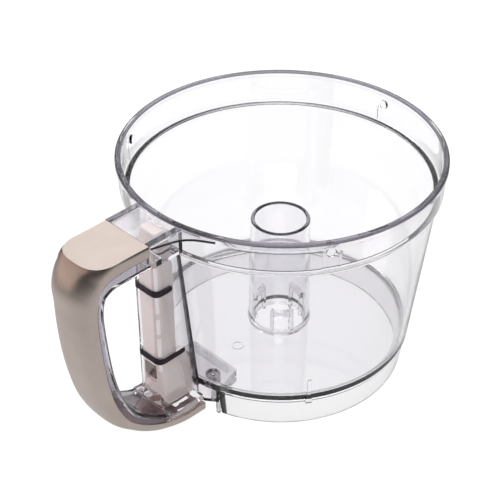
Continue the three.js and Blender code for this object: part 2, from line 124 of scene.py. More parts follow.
def mesh_piece(name, points, faces):
    """A new object from points of the bowl's own frame, with its faces turned outward."""
    mesh = bpy.data.meshes.new(name)
    mesh.from_pydata([placed(point) for point in points], [], faces)
    tidy = bmesh.new()
    tidy.from_mesh(mesh)
    bmesh.ops.remove_doubles(tidy, verts=tidy.verts, dist=1e-7)
    bmesh.ops.recalc_face_normals(tidy, faces=tidy.faces)
    tidy.to_mesh(mesh)
    tidy.free()
    piece = bpy.data.objects.new(name, mesh)
    bpy.context.scene.collection.objects.link(piece)
    return piece


def filleted(corners, steps=5):
    """A closed outline of (a, b, radius) corners with each corner rounded to its radius."""
    outline = []
    for i, (a, b, radius) in enumerate(corners):
        here = Vector((a, b))
        before = Vector(corners[i - 1][:2]) - here
        after = Vector(corners[(i + 1) % len(corners)][:2]) - here
        if radius == 0:
            outline.append((a, b))
            continue
        half = before.angle(after) / 2
        reach = min(radius / math.tan(half), 0.48 * before.length, 0.48 * after.length)
        start = here + before.normalized() * reach
        end = here + after.normalized() * reach
        for k in range(steps + 1):
            t = k / steps
            outline.append(tuple((1 - t) ** 2 * start + 2 * t * (1 - t) * here + t * t * end))
    return outline


def revolved(name, corners, segments=ROUND, centre=(0, 0)):
    """A closed outline of (radius, height, fillet) turned about the upright line through centre."""
    outline = filleted(corners)
    points = []
    for i in range(segments):
        angle = 2 * math.pi * i / segments
        c, s = math.cos(angle), math.sin(angle)
        points += [(centre[0] + r * c, centre[1] + r * s, z) for r, z in outline]
    n = len(outline)
    faces = []
    for i in range(segments):
        here, there = i * n, (i + 1) % segments * n
        for j in range(n):
            k = (j + 1) % n
            faces.append((here + j, here + k, there + k, there + j))
    return mesh_piece(name, points, faces)


def lofted(name, rings):
    """Rings of points joined in order, with a cap on the first and on the last."""
    n = len(rings[0])
    points = [point for ring in rings for point in ring]
    faces = []
    for i in range(len(rings) - 1):
        here, there = i * n, (i + 1) * n
        for j in range(n):
            k = (j + 1) % n
            faces.append((here + j, here + k, there + k, there + j))
    faces.append(tuple(range(n)))
    faces.append(tuple((len(rings) - 1) * n + j for j in range(n)))
    return mesh_piece(name, points, faces)


def upright(name, corners, z0, z1, steps=5):
    """An outline of (x, y, fillet) corners, from height z0 to z1."""
    outline = filleted(corners, steps)
    return lofted(name, [[(x, y, z) for x, y in outline] for z in (z0, z1)])


def across(name, corners, y0, y1):
    """An outline of (x, z, fillet) corners, from y0 to y1 across the handle."""
    outline = filleted(corners)
    return lofted(name, [[(x, y, z) for x, z in outline] for y in (y0, y1)])


def block(name, x0, x1, y0, y1, z0, z1, fillet=0):
    """A box between two corners, with its upright edges rounded to fillet."""
    corners = [(x0, y0, fillet), (x1, y0, fillet), (x1, y1, fillet), (x0, y1, fillet)]
    return upright(name, corners, z0, z1)


def combined(piece, others, operation):
    """Joins others to piece, or cuts them from it or keeps what they share, and removes them."""
    for other in others:
        modifier = piece.modifiers.new(operation, "BOOLEAN")
        modifier.operation = operation
        modifier.solver = "MANIFOLD"
        modifier.object = other
    applied(piece)
    for other in others:
        bpy.data.objects.remove(other)
    return piece


def joined(piece, *others):
    return combined(piece, others, "UNION")


def cut(piece, *others):
    return combined(piece, others, "DIFFERENCE")


def shared(piece, *others):
    return combined(piece, others, "INTERSECT")


def applied(piece):
    """Turns the piece's modifiers into its mesh."""
    evaluated = piece.evaluated_get(bpy.context.evaluated_depsgraph_get())
    mesh = bpy.data.meshes.new_from_object(evaluated)
    piece.modifiers.clear()
    piece.data = mesh


def bevelled(piece, width, angle, segments, edge=None):
    """Rounds edges sharper than angle to width millimetres, in the edge material if one is given, which
    paints shade along them.
    """
    bevel = piece.modifiers.new("bevel", "BEVEL")
    bevel.width = width * MM
    bevel.segments = segments
    bevel.limit_method = "ANGLE"
    bevel.angle_limit = math.radians(angle)
    if edge:
        piece.data.materials.append(edge)
        bevel.material = len(piece.data.materials) - 1


def softened(piece, width, edge):
    """Joins the flat facets of a CAD piece and rounds its sharp edges."""
    flat = piece.modifiers.new("flat", "DECIMATE")
    flat.decimate_type = "DISSOLVE"
    flat.angle_limit = math.radians(0.5)
    bevelled(piece, width, 35, 3, edge)


def lined(piece, width, edge):
    """Rounds the sharp edges of a finished piece in a darker clear copy that paints shade along them."""
    bevelled(piece, width, 40, 2, edge)


def smooth(piece, angle=32):
    """Shades a piece smooth between edges sharper than angle; a CAD piece keeps its own edges."""
    mesh = piece.data
    mesh.polygons.foreach_set("use_smooth", [True] * len(mesh.polygons))
    if not piece.get("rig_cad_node"):
        mesh.set_sharp_from_angle(angle=math.radians(angle))
    weighted = piece.modifiers.new("even", "WEIGHTED_NORMAL")
    weighted.keep_sharp = True
    weighted.weight = 80
    return piece


def dress(piece, material, body="bowl_body", stands_for=()):
    """Gives a finished piece its material and its body, and hides the CAD nodes it stands for."""
    piece.data.materials.clear()
    piece.data.materials.append(material)
    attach(piece, body)
    if stands_for:
        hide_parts(*stands_for)


# ---- Materials -----------------------------------------------------------------------------


class Nodes:
    """The node tree of a material or a world, with short ways to add and link nodes."""

    def __init__(self, owner, output="ShaderNodeOutputMaterial", place="Object"):
        owner.use_nodes = True
        self.owner = owner
        self.tree = owner.node_tree
        self.tree.nodes.clear()
        self.output = self.add(output)
        self.place = self.add("ShaderNodeTexCoord").outputs[place]

    def add(self, kind, **settings):
        node = self.tree.nodes.new(kind)
        for key, value in settings.items():
            if key in node.inputs:
                node.inputs[key].default_value = value
            else:
                setattr(node, key, value)
        return node

    def link(self, source, target):
        """Links an output to a socket, or sets the socket to a plain value."""
        if isinstance(source, bpy.types.NodeSocket):
            self.tree.links.new(source, target)
        else:
            target.default_value = source

    def calculate(self, operation, *values):
        node = self.add("ShaderNodeMath", operation=operation)
        for value, socket in zip(values, node.inputs):
            self.link(value, socket)
        return node.outputs[0]

    def scaled(self, vector, factor):
        node = self.add("ShaderNodeVectorMath", operation="SCALE")
        self.link(vector, node.inputs[0])
        self.link(factor, node.inputs["Scale"])
        return node.outputs[0]

    def noise(self, scale, detail=2.0, roughness=0.5, stretch=None):
        """Noise that sits still on the piece, drawn out along the axes that stretch makes small."""
        node = self.add("ShaderNodeTexNoise", Scale=scale, Detail=detail, Roughness=roughness)
        source = self.place
        if stretch:
            mapping = self.add("ShaderNodeMapping", Scale=stretch)
            self.link(self.place, mapping.inputs["Vector"])
            source = mapping.outputs["Vector"]
        self.link(source, node.inputs["Vector"])
        return node.outputs["Fac"]

    def between(self, value, low, high, value_low=0.3, value_high=0.7, change="LINEAR"):
        """Maps value from its usual range to low..high."""
        node = self.add("ShaderNodeMapRange", interpolation_type=change)
        self.link(value, node.inputs["Value"])
        self.link(value_low, node.inputs["From Min"])
        self.link(value_high, node.inputs["From Max"])
        self.link(low, node.inputs["To Min"])
        self.link(high, node.inputs["To Max"])
        return node.outputs["Result"]

    def blend(self, value, dark, light):
        """A colour from dark to light as value goes from 0 to 1."""
        node = self.add("ShaderNodeMix", data_type="RGBA", A=(*dark, 1), B=(*light, 1))
        self.link(value, node.inputs["Factor"])
        return node.outputs["Result"]

    def bump(self, height, distance, strength, under=None):
        node = self.add("ShaderNodeBump", Strength=strength, Distance=distance)
        self.link(height, node.inputs["Height"])
        if under is not None:
            self.link(under, node.inputs["Normal"])
        return node.outputs["Normal"]

    def principled(self, **values):
        node = self.add("ShaderNodeBsdfPrincipled")
        for key, value in values.items():
            node.inputs[key.replace("_", " ")].default_value = value
        return node

    def finish(self, shader):
        """Makes shader the surface and returns the material or world."""
        self.link(shader.outputs[0], self.output.inputs["Surface"])
        return self.owner


def new_material(name):
    return Nodes(bpy.data.materials.new(name))


def clear_plastic(name, tint, haze=0.0, shine=0.5):
    """Clear moulded plastic: polished, faintly wavy, with fine wiping marks."""
    n = new_material(name)
    glass = n.principled(
        Base_Color=(*tint, 1), Transmission_Weight=1.0, IOR=1.49, Specular_IOR_Level=shine
    )
    marks = n.noise(900, 4, 0.7, stretch=(1, 1, 0.12))
    n.link(n.between(marks, haze, haze + 0.07, 0.45, 0.85), glass.inputs["Roughness"])
    n.link(n.bump(n.noise(26, 1), 0.00012, 0.35), glass.inputs["Normal"])
    let_through = n.add("ShaderNodeBsdfTransparent", Color=(0.955, 0.952, 0.96, 1))
    path = n.add("ShaderNodeLightPath")
    unseen = n.calculate("MAXIMUM", path.outputs["Is Shadow Ray"], path.outputs["Is Diffuse Ray"])
    mix = n.add("ShaderNodeMixShader")
    n.link(unseen, mix.inputs[0])
    n.link(glass.outputs[0], mix.inputs[1])
    n.link(let_through.outputs[0], mix.inputs[2])
    absorb = n.add("ShaderNodeVolumeAbsorption", Color=(0.62, 0.6, 0.66, 1), Density=11.0)
    n.link(absorb.outputs[0], n.output.inputs["Volume"])
    return n.finish(mix)


def champagne_paint():
    """Satin metallic paint: fine flakes, a soft orange peel and slightly worn colour."""
    n = new_material("champagne_paint")
    paint = n.principled(Metallic=0.96, Coat_Weight=0.1, Coat_Roughness=0.3)
    flakes = n.noise(5200, 2, 0.6)
    clouds = n.noise(55, 3, 0.55)
    shade = n.calculate(
        "MULTIPLY_ADD", n.between(flakes, 0.0, 1.0, 0.25, 0.75), 0.75, n.between(clouds, 0.0, 0.25)
    )
    n.link(n.blend(shade, (0.55, 0.455, 0.41), (0.74, 0.645, 0.595)), paint.inputs["Base Color"])
    n.link(n.between(flakes, 0.27, 0.38), paint.inputs["Roughness"])
    peel = n.bump(n.noise(420, 2), 0.00003, 0.5)
    n.link(n.bump(flakes, 0.000012, 0.5, under=peel), paint.inputs["Normal"])
    return n.finish(paint)


def satin_plastic(name, dark, light, roughness, painted_emission=0.0, shine=0.5):
    """Moulded coloured plastic with a fine grain and faint flow marks; any emission given is a painted
    glow.
    """
    n = new_material(name)
    plastic = n.principled(
        IOR=1.5, Specular_IOR_Level=shine, Emission_Color=(1, 1, 1, 1), Emission_Strength=painted_emission
    )
    flow = n.noise(60, 3, 0.6, stretch=(1, 1, 0.25))
    n.link(n.blend(n.between(flow, 0.0, 1.0), dark, light), plastic.inputs["Base Color"])
    fine = n.noise(1500, 3)
    n.link(n.between(fine, roughness - 0.05, roughness + 0.07), plastic.inputs["Roughness"])
    n.link(n.bump(fine, 0.00003, 0.35), plastic.inputs["Normal"])
    return n.finish(plastic)


def steel(name, dark, light, roughness):
    """Drawn or turned steel, with fine lines and slight staining."""
    n = new_material(name)
    metal = n.principled(Metallic=1.0)
    stain = n.noise(300, 3, 0.6)
    n.link(n.blend(n.between(stain, 0.0, 1.0), dark, light), metal.inputs["Base Color"])
    lines = n.noise(2500, 2, 0.5, stretch=(1, 1, 6))
    n.link(n.between(lines, roughness - 0.08, roughness + 0.1), metal.inputs["Roughness"])
    n.link(n.bump(lines, 0.00001, 0.4), metal.inputs["Normal"])
    return n.finish(metal)


# The first clear finish is the plastic's own tint. The copies after it are lighter or darker by zone:
# painted light and shade.
CLEAR = clear_plastic("clear_plastic", (0.915, 0.91, 0.923))
SKIRT_SHADED = clear_plastic("skirt_shaded", (0.85, 0.845, 0.852))
TUBE_LIGHTENED = clear_plastic("tube_lightened", (0.94, 0.935, 0.955))
ROOT_SHADED = clear_plastic("root_shaded", (0.74, 0.70, 0.735))
BOWL_FLOOR_SHADED = clear_plastic("bowl_floor_shaded", (0.86, 0.855, 0.87), haze=0.05, shine=0.1)
BRIDGE_SHADED = clear_plastic("clear_bridge", (0.80, 0.785, 0.82))
CLEAR_WINDOW = clear_plastic("clear_window", (0.90, 0.885, 0.90), haze=0.2)
LINER_SHADED = clear_plastic("liner_shaded", (0.62, 0.6, 0.64))
# These four are darker still: painted shade for the dark lines along edges, corners and seams.
FAINT_EDGE_SHADE = clear_plastic("faint_edge_shade", (0.52, 0.515, 0.545))
MEDIUM_EDGE_SHADE = clear_plastic("medium_edge_shade", (0.36, 0.35, 0.375))
DEEP_EDGE_SHADE = clear_plastic("deep_edge_shade", (0.22, 0.215, 0.225))
BLACK_EDGE_SHADE = clear_plastic("black_edge_shade", (0.04, 0.04, 0.042))
PAINT = champagne_paint()
PAINT_INSIDE = satin_plastic("cover_inside", (0.19, 0.12, 0.12), (0.26, 0.17, 0.165), 0.45)
CHAMPAGNE = satin_plastic("champagne_plastic", (0.74, 0.64, 0.615), (0.83, 0.735, 0.71), 0.34, shine=0.35)
# Painted shade: the near-black finish of the bands round the column's slots.
DARK = satin_plastic("slot_shadow", (0.010, 0.006, 0.011), (0.035, 0.022, 0.036), 0.55, shine=0.25)
# Painted shade: a near-black brown for the plate in the foot's window.
WINDOW_SHADE_PLATE = satin_plastic("window_shade_plate", (0.07, 0.035, 0.035), (0.12, 0.065, 0.062), 0.5, shine=0.3)
# Painted highlight: a pale plastic with a faint glow, for the strips on the rod's corner.
PAINTED_HIGHLIGHT = satin_plastic("painted_highlight_strip", (0.84, 0.79, 0.79), (0.92, 0.88, 0.88), 0.3, painted_emission=0.10)
SPRING_STEEL = steel("spring_steel", (0.30, 0.29, 0.29), (0.5, 0.49, 0.48), 0.28)
ZINC = steel("zinc_steel", (0.45, 0.45, 0.46), (0.66, 0.66, 0.67), 0.35)


# ---- Bowl ----------------------------------------------------------------------------------


def wall_radius(z):
    """The outside radius of the sloping wall at height z."""
    rise = (z - FLOOR_UNDER) / (WALL_TOP - FLOOR_UNDER)
    return WALL_FOOT_RADIUS + rise * (WALL_TOP_RADIUS - WALL_FOOT_RADIUS)


def bowl_corners():
    """The section through wall, floor and centre tube, as (radius, height, fillet)."""
    lip = wall_radius(WALL_TOP) - WALL
    return [
        (SKIRT_TOP_RADIUS - 2.5, FLOOR_UNDER, 1.2),
        (SKIRT_FOOT_RADIUS - 2.5, 0, 0.7),
        (SKIRT_FOOT_RADIUS, 0, 0.7),
        (SKIRT_TOP_RADIUS, FLOOR_UNDER - 1, 0.3),
        (WALL_FOOT_RADIUS, FLOOR_UNDER + 0.5, 0.6),
        (WALL_TOP_RADIUS, WALL_TOP, 1.2),
        (BAND_OUTSIDE - 0.7, WALL_TOP + 3.4, 1.6),
        (BAND_OUTSIDE, RIM_TOP - 5.2, 0.6),
        (RIM_RADIUS, RIM_TOP - 4, 0.9),
        (RIM_RADIUS, RIM_TOP, 1.5),
        (BAND_INSIDE, RIM_TOP, 1.3),
        (BAND_INSIDE, RIM_TOP - 6, 1.5),
        (BAND_INSIDE - 0.4, LEDGE, 0.9),
        (lip - 0.9, LEDGE, 0.8),
        (lip - 0.9, LEDGE - 2.2, 0.6),
        (lip - 0.1, LEDGE - 5, 1.5),
        (wall_radius(FLOOR_TOP) - WALL, FLOOR_TOP, 6),
        (TUBE_FOOT_RADIUS, FLOOR_TOP, 1.2),
        (TUBE_TOP_RADIUS, TUBE_TOP, 0.8),
        (TUBE_TOP_BORE, TUBE_TOP, 0.8),
        (TUBE_FOOT_BORE, FLOOR_TOP, 3),
        (TUBE_FOOT_BORE - 1.4, COLLAR_BOTTOM, 0.5),
        (TUBE_FOOT_RADIUS, COLLAR_BOTTOM, 0.5),
        (TUBE_FOOT_RADIUS, FLOOR_UNDER, 0.5),
    ]


def tint_edges(piece, material, zones, least_up=0.0, centre=(0, 0)):
    """Gives the faces inside some zones a lighter or darker copy of the clear plastic, painting light and
    shade there.

    A zone is (least radius, most radius, lowest, highest). The radius is taken from centre, and
    from its mirror image across the handle. Faces steeper than least_up are left out.
    """
    piece.data.materials.append(material)
    index = len(piece.data.materials) - 1
    for face in piece.data.polygons:
        x, y, z = local(face.center)
        radius = math.hypot(x - centre[0], abs(y) - centre[1])
        if abs(face.normal.z) < least_up:
            continue
        if any(r0 < radius < r1 and z0 < z < z1 for r0, r1, z0, z1 in zones):
            face.material_index = index


def turned(piece, degrees):
    """Turns a piece round the bowl's axis, counted from the handle's direction."""
    axis = placed((0, 0, 0))
    spin = Matrix.Rotation(math.radians(degrees), 4, "Z")
    piece.data.transform(Matrix.Translation(axis) @ spin @ Matrix.Translation(-axis))
    return piece


LUG_TURNS = (60, 180, 300)
KEY_TURNS = (50, 170, 290)
NOTCH_HALF_WIDTH = 26.8
SCREW_X, SCREW_Y = 74.7, 12.4
BOSS_BOTTOM = FLOOR_UNDER - 7.5


def lid_lug(degrees):
    """A round stud inside the band that holds the lid down."""
    radius, depth, height, sides = 3.1, 1.9, 148.2, 32
    rings = []
    for reach, size in ((1.0, 1.0), (0.7 - depth, 1.0), (0.2 - depth, 0.93), (-depth, 0.78)):
        ring = []
        for k in range(sides):
            angle = 2 * math.pi * k / sides
            across_by = radius * size * math.cos(angle)
            ring.append((BAND_INSIDE + reach, across_by, height + radius * size * math.sin(angle)))
        rings.append(ring)
    return turned(lofted(f"lug_{degrees}", rings), degrees)


def lid_guide():
    """A thicker stretch of the band whose top edge climbs from the ledge and steers the lid."""
    start, end, rise, low, high, depth, steps = 14, 57, 15, LEDGE + 0.4, 149.3, 1.6, 86
    rings = []
    for k in range(steps + 1):
        degrees = start + (end - start) * k / steps
        climb = min(1, (degrees - start) / rise)
        climb = climb * climb * (3 - 2 * climb)
        height = low + (high - low) * climb
        angle = math.radians(degrees)
        section = filleted([
            (BAND_INSIDE - depth, LEDGE - 0.6, 0),
            (BAND_INSIDE + 1, LEDGE - 0.6, 0),
            (BAND_INSIDE + 1, height, 0),
            (BAND_INSIDE - depth, height, 0.7),
        ], 3)
        rings.append([(r * math.cos(angle), r * math.sin(angle), z) for r, z in section])
    return lofted("guide", rings)


def screw_boss(side):
    """The hollow boss under the floor that takes one of the root's screws."""
    corners = [
        (1.9, BOSS_BOTTOM, 0.3), (5, BOSS_BOTTOM, 0.5), (4.8, FLOOR_UNDER + 1, 0), (1.9, FLOOR_UNDER + 1, 0)
    ]
    return revolved(f"boss_{side}", corners, 48, (SCREW_X, side * SCREW_Y))


def spindle_key(degrees):
    """Two thin ribs and the hood between them, inside the foot of the centre tube."""
    half_angle, rib_top, hood = 22, 40, 5.5
    outer, inner, steps = TUBE_FOOT_BORE + 0.6, TUBE_FOOT_BORE - 3.5, 16
    parts = []
    for side in (-1, 1):
        rib = block(f"rib_{degrees}_{side}", inner, outer, -0.8, 0.8, COLLAR_BOTTOM + 1, rib_top)
        parts.append(turned(rib, degrees + side * half_angle))
    rings = []
    for k in range(steps + 1):
        angle = math.radians(degrees + half_angle * (2 * k / steps - 1))
        section = ((outer, rib_top - hood), (inner + 0.4, rib_top - hood),
                   (inner + 0.4, rib_top - 0.6), (outer, rib_top - 0.6))
        rings.append([(r * math.cos(angle), r * math.sin(angle), z) for r, z in section])
    parts.append(lofted(f"hood_{degrees}", rings))
    return parts


def wall_rib():
    """A small round-topped rib at the foot of the wall."""
    foot, top, half, turn = FLOOR_UNDER - 1.5, FLOOR_UNDER + 20, 1.3, 56
    corners = [(-half - 0.8, foot, 0.5), (half + 0.8, foot, 0.5), (half + 0.8, foot + 5, 0.6),
               (half, foot + 7, 0.6), (half, top, 1.25), (-half, top, 1.25), (-half, foot + 7, 0.6),
               (-half - 0.8, foot + 5, 0.6)]
    outline = filleted(corners)
    rings = [[(wall_radius(z) + out, y, z) for y, z in outline] for out in (-0.8, 0.9)]
    return turned(lofted("wall_rib", rings), turn)


def gate_mark():
    """The round mark that moulding leaves on the floor."""
    place, radius, under = (45.2, 5.2), 4.1, FLOOR_TOP - 1
    lip, dish = FLOOR_TOP + 0.35, FLOOR_TOP + 0.12
    corners = [(0.1, under, 0), (radius, under, 0), (radius, lip, 0.2), (radius - 0.8, lip, 0.2),
               (radius - 1, dish, 0), (0.1, dish, 0)]
    return revolved("gate_mark", corners, 48, place)


def lug_rib(degrees):
    """A short rib that stiffens the band beside a lug."""
    foot, slant, top, near, far = LEDGE - 0.5, 143, 147, 4.8, 5.9
    rib = across(f"lug_rib_{degrees}", [
        (BAND_INSIDE - 1.0, foot, 0), (BAND_INSIDE + 0.8, foot, 0),
        (BAND_INSIDE + 0.8, top, 0), (BAND_INSIDE - 0.2, top, 0), (BAND_INSIDE - 1.0, slant, 0),
    ], near, far)
    return turned(rib, degrees)


def tint_bowl(bowl):
    """Paints shade on thick and cut stretches of the clear moulding with darker copies of the clear
    plastic, and light on the tube with a lighter one.
    """
    skirt = (SKIRT_FOOT_RADIUS - 3, SKIRT_TOP_RADIUS + 0.5, -1, FLOOR_UNDER - 1)
    floor = (TUBE_FOOT_RADIUS, WALL_FOOT_RADIUS - 6, FLOOR_UNDER - 1, FLOOR_TOP + 1)
    floor_fillet = (WALL_FOOT_RADIUS - 7, WALL_FOOT_RADIUS - 2.2, FLOOR_TOP + 1.1, FLOOR_TOP + 2.1)
    wall_foot = (WALL_FOOT_RADIUS - 1.4, WALL_FOOT_RADIUS + 0.6, FLOOR_UNDER - 1.2, FLOOR_UNDER + 1.4)
    tube = (TUBE_TOP_BORE - 1, TUBE_FOOT_RADIUS + 0.3, FLOOR_TOP, TUBE_TOP + 1)
    tube_end = (TUBE_TOP_BORE - 1, TUBE_TOP_RADIUS + 1, TUBE_TOP - 0.8, TUBE_TOP + 1)
    rim = (BAND_INSIDE - 0.2, RIM_RADIUS + 1, RIM_TOP - 2, RIM_TOP + 1)
    rim_edge = (RIM_RADIUS - 0.5, RIM_RADIUS + 1, RIM_TOP - 2, RIM_TOP + 1)
    under_ledge = (WALL_TOP_RADIUS, BAND_OUTSIDE - 0.2, WALL_TOP - 0.4, WALL_TOP + 0.8)
    guide_top = (BAND_INSIDE - 1.7, BAND_INSIDE - 0.1, LEDGE + 0.6, RIM_TOP - 7)
    boss = (1, 5.4, BOSS_BOTTOM - 1, FLOOR_UNDER - 0.1)
    notch_end = (0, 3, -1, FLOOR_UNDER)
    tint_edges(bowl, SKIRT_SHADED, [skirt])
    tint_edges(bowl, BOWL_FLOOR_SHADED, [floor], least_up=0.9)
    tint_edges(bowl, TUBE_LIGHTENED, [tube])
    tint_edges(bowl, BRIDGE_SHADED, [rim, under_ledge])
    tint_edges(bowl, FAINT_EDGE_SHADE, [floor_fillet, rim_edge])
    tint_edges(bowl, MEDIUM_EDGE_SHADE, [tube_end, wall_foot])
    tint_edges(bowl, DEEP_EDGE_SHADE, [boss], centre=(SCREW_X, SCREW_Y))
    tint_edges(bowl, BLACK_EDGE_SHADE, [notch_end], centre=(SKIRT_FOOT_RADIUS - 5, NOTCH_HALF_WIDTH))
    tint_edges(bowl, DEEP_EDGE_SHADE, [guide_top], least_up=0.3)


def clear_bowl():
    """The bowl with its centre tube and everything moulded on them."""
    bowl = revolved("clear_bowl", bowl_corners())
    notch = block("notch", 76, 96, -NOTCH_HALF_WIDTH, NOTCH_HALF_WIDTH, -1, FLOOR_UNDER - 0.02)
    cut(bowl, notch)
    fittings = [lid_lug(degrees) for degrees in LUG_TURNS]
    fittings += [lug_rib(degrees) for degrees in LUG_TURNS]
    fittings += [lid_guide(), screw_boss(-1), screw_boss(1), wall_rib(), gate_mark()]
    for degrees in KEY_TURNS:
        fittings += spindle_key(degrees)
    joined(bowl, *fittings)
    smooth(bowl)
    dress(bowl, CLEAR, stands_for=("bowl", "centre_tube"))
    tint_bowl(bowl)


# ---- Handle --------------------------------------------------------------------------------

# Finger side, joint line and back of the grip as (x, z), then half width and how square the
# back is, from the bridge round to the root.
GRIP = (
    ((129.1, 139.8), (129.1, 148.8), (129.1, 157.0), 19.8, 9),
    ((145.0, 139.5), (146.0, 148.7), (146.0, 157.2), 19.4, 9),
    ((154.0, 139.2), (156.0, 147.5), (158.0, 158.9), 19.3, 5),
    ((159.5, 136.3), (162.3, 144.4), (171.1, 154.2), 18.6, 2.4),
    ((161.6, 132.0), (166.0, 136.0), (178.8, 140.7), 18.0, 2.2),
    ((162.4, 122.5), (167.6, 124.0), (178.3, 124.6), 17.4, 2.3),
    ((161.6, 109.0), (167.0, 108.0), (178.0, 107.4), 17.0, 2.5),
    ((160.2, 91.5), (165.7, 90.0), (176.7, 88.3), 17.0, 2.5),
    ((157.8, 73.0), (163.4, 71.0), (173.5, 68.1), 17.0, 2.5),
    ((153.8, 56.5), (159.5, 53.0), (168.2, 48.0), 17.0, 2.5),
    ((147.5, 40.6), (152.0, 36.0), (158.5, 29.5), 17.0, 2.5),
    ((139.2, 30.7), (142.9, 25.5), (147.8, 18.6), 17.0, 2.5),
    ((128.6, 23.0), (131.3, 17.3), (135.2, 9.7), 17.4, 3),
    ((119.2, 18.3), (119.5, 12.4), (121.6, 4.7), 18.2, 3.8),
    ((105.5, 16.6), (105.6, 9.8), (106.2, 2.2), 19.2, 5),
    ((89.6, 16.4), (89.6, 10.4), (89.6, 2.2), 19.8, 6),
)
LINER_END = 13
COVER_WALL = 3
LINER_WALL = 2.4
SEAM_INSIDE = 15.2


def catmull(a, b, c, d, t):
    """A smooth curve through b and c, at t from 0 to 1 between them."""
    bend = 2 * a - 5 * b + 4 * c - d
    return 0.5 * (2 * b + (c - a) * t + bend * t * t + (3 * b - a - 3 * c + d) * t ** 3)


def grip_at(position):
    """The grip's section at a position counted in stations."""
    index = min(int(position), len(GRIP) - 2)
    t = position - index
    four = [GRIP[max(0, min(len(GRIP) - 1, index + offset))] for offset in (-1, 0, 1, 2)]
    lines = [
        Vector([catmull(*[station[which][axis] for station in four], t) for axis in (0, 1)])
        for which in (0, 1, 2)
    ]
    half = four[1][3] + (four[2][3] - four[1][3]) * t
    square = four[1][4] + (four[2][4] - four[1][4]) * t
    return lines[0], lines[1], lines[2], half, square


def along_grip(name, last, per_station, section):
    """Lofts section(position), which gives (base, outward, points across and out), along the grip."""
    rings = []
    for k in range(last * per_station + 1):
        base, outward, points = section(k / per_station)
        rings.append([(base.x + outward.x * out, y, base.y + outward.y * out) for y, out in points])
    return lofted(name, rings)


def arch(half, height, square):
    """Half a superellipse, from +half to -half across; square says how boxy it is."""
    count = 56
    points = []
    for k in range(count + 1):
        angle = math.pi * k / count
        c = math.cos(angle)
        y = math.copysign(abs(c) ** (2 / square), c) if abs(c) > 1e-9 else 0.0
        points.append((half * y, height * max(0.0, math.sin(angle)) ** (2 / square)))
    return points


def cover_section(position):
    """The painted shell's open section at a position of the grip."""
    _, seam, outer, half, square = grip_at(position)
    depth = (outer - seam).length - GAP
    outside = arch(half, depth, square)
    inside = arch(half - COVER_WALL, depth - COVER_WALL, square)[::-1]
    points = [(y, out + GAP) for y, out in outside + inside]
    return seam, (outer - seam).normalized(), points


def handle_cover():
    """The painted shell, open where the rod passes and where its foot comes down."""
    cover = along_grip("painted_cover", len(GRIP) - 1, 6, cover_section)
    above = block("above", 100, 200, -40, 40, HANDLE_TOP, HANDLE_TOP + 20)
    rod_hole = block("rod_hole", 91.5, 103.5, -6, 6, -1, 9, 1)
    foot_pocket = block("foot_pocket", 89, 108, -9.2, 9.2, 3.9, 12)
    cut(cover, above, rod_hole, foot_pocket)
    smooth(cover, 24)
    dress(cover, PAINT, stands_for=("handle_cover",))
    cover.data.materials.append(PAINT_INSIDE)
    paint_inside_of(cover)


def paint_inside_of(cover):
    """Faces that look at the grip's core get a dark brown plastic instead of the paint."""
    core = [grip_at(k / 4)[1] for k in range((len(GRIP) - 1) * 4 + 1)]
    for face in cover.data.polygons:
        x, y, z = local(face.center)
        near = min(core, key=lambda point: (point.x - x) ** 2 + (point.y - z) ** 2)
        normal = Vector((-face.normal.x, -face.normal.y, face.normal.z))
        inward = Vector((near.x - x, -y, near.y - z))
        if normal.dot(inward) > 0.25 * inward.length:
            face.material_index = 1


def liner_section(position):
    """The clear channel's section at a position of the grip, with rounded outer corners."""
    inner, seam, _, half, _ = grip_at(position)
    depth = (seam - inner).length
    edge = min(2.2, depth - 0.4)
    core = half - LINER_WALL
    floor = min(LINER_WALL, depth - 0.8)
    corner = [(half - edge + edge * math.cos(a), edge - edge * math.sin(a))
              for a in [math.radians(15 * k) for k in range(7)]]
    points = [(half, depth)] + corner + [(-y, out) for y, out in corner[::-1]] + [(-half, depth)]
    points += [(-core, depth), (-core, floor + 0.6), (0.6 - core, floor),
               (core - 0.6, floor), (core, floor + 0.6), (core, depth)]
    return inner, (seam - inner).normalized(), points


def grip_liner():
    """The clear channel on the finger side in a darker copy of the clear plastic, with painted shade: grey
    on its slanted faces and dark where its seam meets the painted shell.
    """
    liner = along_grip("clear_grip_liner", LINER_END, 6, liner_section)
    smooth(liner, 40)
    dress(liner, LINER_SHADED, stands_for=("grip_liner",))
    liner.data.materials.append(DEEP_EDGE_SHADE)
    liner.data.materials.append(BLACK_EDGE_SHADE)
    sections = [grip_at(k / 4)[:2] for k in range(LINER_END * 4 + 1)]
    for face in liner.data.polygons:
        if 0.3 < abs(face.normal.y) < 0.95:
            face.material_index = 1
        x, y, z = local(face.center)
        here = Vector((x, z))
        inner, seam = min(sections, key=lambda pair: (pair[1] - here).length_squared)
        outward = (seam - inner).normalized()
        facing = -face.normal.x * outward.x + face.normal.z * outward.y
        if facing > 0.9 and abs(y) > SEAM_INSIDE:
            face.material_index = 2


BRIDGE_END = 128.8
BRIDGE_WALL = 4.6
TAB_SLOT = (105, 110.9)
TAB_SLOT_SIDES = (-2, 15)
WEB_TIP = (98.9, 42)
WEB_CORNER = 108.2
WEB_TURN = 22.8


def rim_space():
    """The room that the rim takes, as a solid."""
    return revolved("rim_space", [
        (0.1, BRIDGE_UNDER - 1, 0), (RIM_RADIUS + GAP, BRIDGE_UNDER - 1, 0),
        (RIM_RADIUS + GAP, HANDLE_TOP + 1, 0), (0.1, HANDLE_TOP + 1, 0),
    ])


